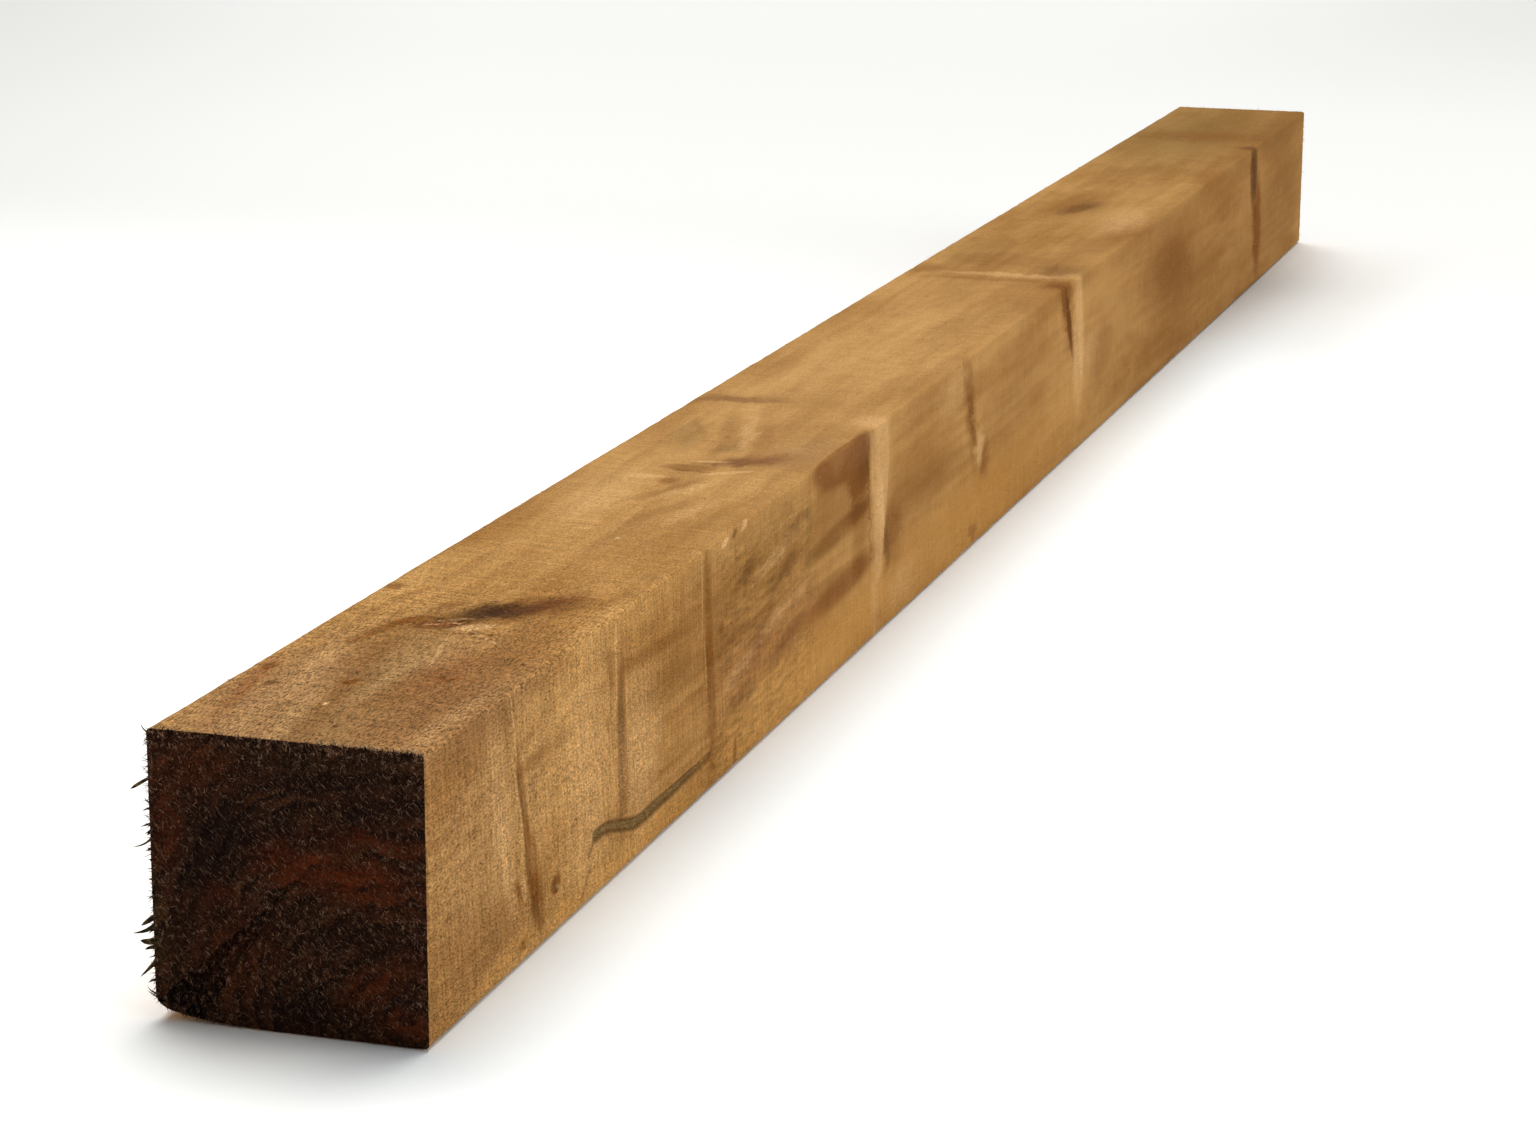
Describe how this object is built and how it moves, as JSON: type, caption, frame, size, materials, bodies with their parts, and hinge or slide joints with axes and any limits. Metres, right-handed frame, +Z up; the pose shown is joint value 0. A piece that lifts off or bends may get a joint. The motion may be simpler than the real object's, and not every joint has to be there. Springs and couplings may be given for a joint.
{
  "type": "wooden post",
  "caption": "Rough-sawn square timber post, pressure treated, with square-cut ends, knots, a strip of exposed pith and one waney arris.",
  "frame": {"origin": "on the floor under the middle of the post's length, as it lies on one long face", "axes": "+Y along the length, from the end that the picture shows in front to the far end; +Z up; +X out of the heart face, in which the branches lie open"},
  "size_m": [0.1, 1.8, 0.102],
  "materials": {
    "treated_timber": "rough sawn, brown pressure-treated softwood, dark on the end grain"
  },
  "bodies": {
    "root": {"timber_post": "treated_timber"}
  },
  "joints": []
}
